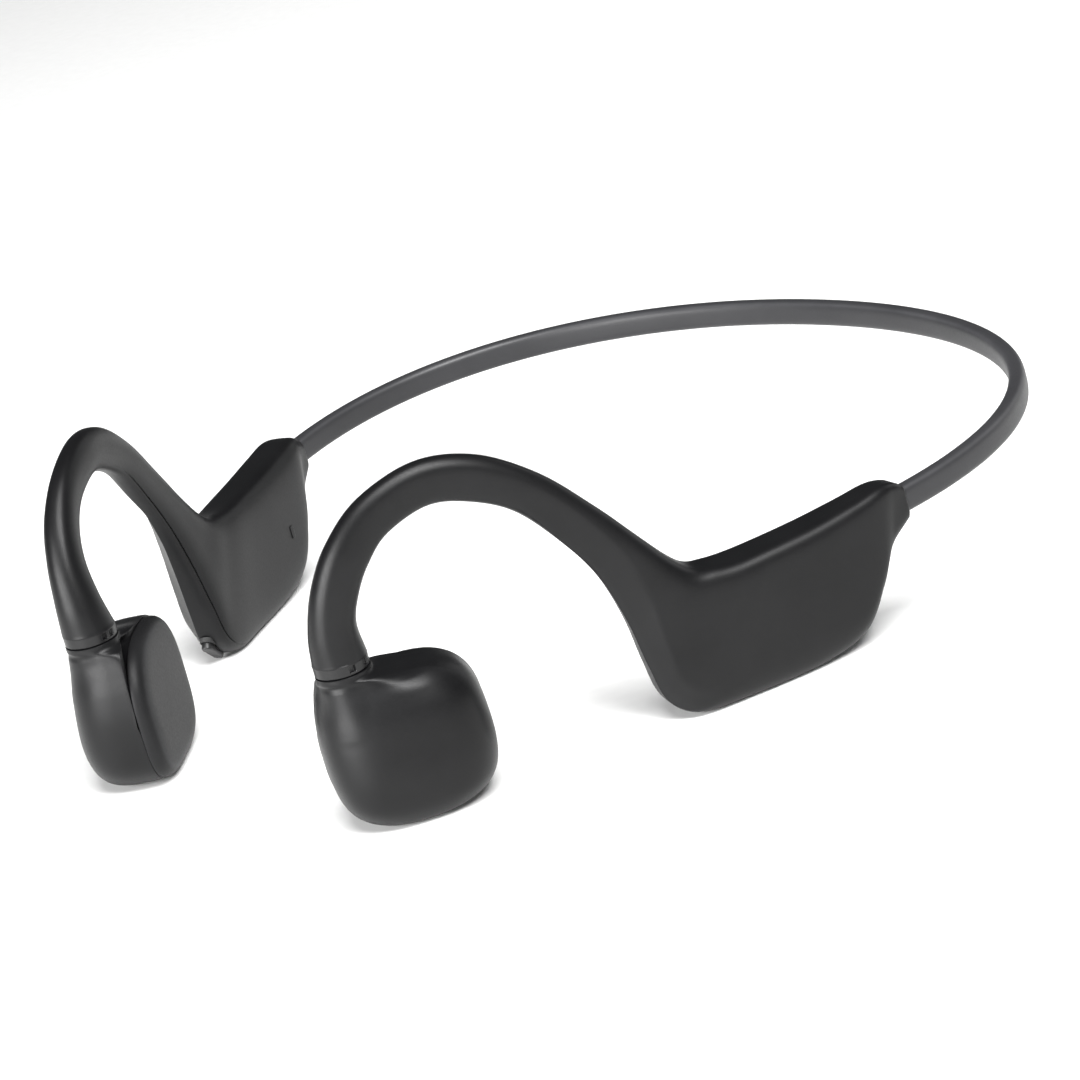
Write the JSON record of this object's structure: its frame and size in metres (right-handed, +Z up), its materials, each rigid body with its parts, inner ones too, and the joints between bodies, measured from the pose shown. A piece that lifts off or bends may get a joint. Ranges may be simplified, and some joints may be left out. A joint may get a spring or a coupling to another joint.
{
  "type": "bone conduction headphones",
  "caption": "Open-ear bone conduction headphones with ear hooks, rear pods, swivelling cheek transducers and a flexible band behind the head.",
  "frame": {"origin": "on the surface the headphones stand on, midway between left and right and midway between the front of the transducers and the back of the band", "axes": "+Z up, +X towards the wearer's left, +Y backwards, so that the wearer faces -Y"},
  "size_m": [0.1352, 0.143, 0.049],
  "materials": {
    "soft_touch_black": "satin soft-touch elastomer",
    "pad_rubber": "matt soft silicone",
    "band_rubber": "satin silicone",
    "gloss_black": "polished",
    "button_plastic": "fine matt moulded",
    "inner_plastic": "moulded",
    "seal_rubber": "matt",
    "titanium": "drawn wire",
    "steel": "turned",
    "magnet_nickel": "nickel plated",
    "bronze": "sintered bronze",
    "copper_wire": "enamelled copper",
    "gold_plate": "gold plated",
    "board_green": "solder mask",
    "cell_foil": "foil pouch",
    "foam": "closed-cell foam",
    "chip_black": "moulded epoxy",
    "light_diffuser": "smoked diffuser",
    "wire_jacket": "enamelled leads"
  },
  "bodies": {
    "left_side": {"left_hook_skin": "soft_touch_black", "left_hook_core": "titanium", "left_hook_leads": "wire_jacket", "left_swivel_collar": "gloss_black", "left_swivel_spigot": "steel", "left_swivel_clip": "steel", "left_pod_shell": "soft_touch_black", "left_pod_cover": "pad_rubber", "left_band_plug": "inner_plastic", "battery": "cell_foil", "battery_foam": "foam", "pin_carrier": "inner_plastic", "charging_pins": "gold_plate", "left_cover_seal": "seal_rubber", "band_sleeve": "band_rubber", "band_core": "titanium", "band_leads": "wire_jacket"},
    "right_side": {"right_hook_skin": "soft_touch_black", "right_hook_core": "titanium", "right_hook_leads": "wire_jacket", "right_swivel_collar": "gloss_black", "right_swivel_spigot": "steel", "right_swivel_clip": "steel", "right_pod_shell": "soft_touch_black", "right_pod_cover": "pad_rubber", "right_band_plug": "inner_plastic", "power_button_seal": "seal_rubber", "power_switch": "steel", "circuit_board": "board_green", "board_components": "chip_black", "radio_module": "steel", "board_screws": "steel", "microphone": "steel", "microphone_mesh": "steel", "light_pipe": "light_diffuser", "right_cover_seal": "seal_rubber"},
    "left_transducer": {"left_swivel_bush": "bronze", "left_transducer_housing": "soft_touch_black", "left_cheek_pad": "pad_rubber", "left_magnet": "magnet_nickel", "left_yoke": "steel", "left_pole_plate": "steel", "left_voice_coil": "copper_wire", "left_suspension": "steel", "left_drive_frame": "inner_plastic", "left_frame_screws": "steel"},
    "right_transducer": {"right_swivel_bush": "bronze", "right_transducer_housing": "soft_touch_black", "right_cheek_pad": "pad_rubber", "right_magnet": "magnet_nickel", "right_yoke": "steel", "right_pole_plate": "steel", "right_voice_coil": "copper_wire", "right_suspension": "steel", "right_drive_frame": "inner_plastic", "right_frame_screws": "steel"},
    "power_button": {"power_button": "button_plastic"}
  },
  "joints": [
    {"name": "band_flex", "type": "hinge", "parent": "left_side", "child": "right_side", "pos_m": [0, 0.07011, 0.0194], "axis": [0, 0, -1], "range_deg": [-5, 35], "stiffness_Nm_per_rad": 0.3, "deforming": ["band_sleeve", "band_core", "band_leads"]},
    {"name": "left_swivel", "type": "hinge", "parent": "left_side", "child": "left_transducer", "pos_m": [0.0273, -0.06585, 0.024], "axis": [0, 0, 1], "range_deg": [-12, 12]},
    {"name": "right_swivel", "type": "hinge", "parent": "right_side", "child": "right_transducer", "pos_m": [-0.0273, -0.06585, 0.024], "axis": [0, 0, -1], "range_deg": [-12, 12]},
    {"name": "power_press", "type": "slide", "parent": "right_side", "child": "power_button", "axis": [-0.2843, 0.5765, 0.766], "range_m": [0, 0.0005], "stiffness_N_per_m": 1500}
  ]
}
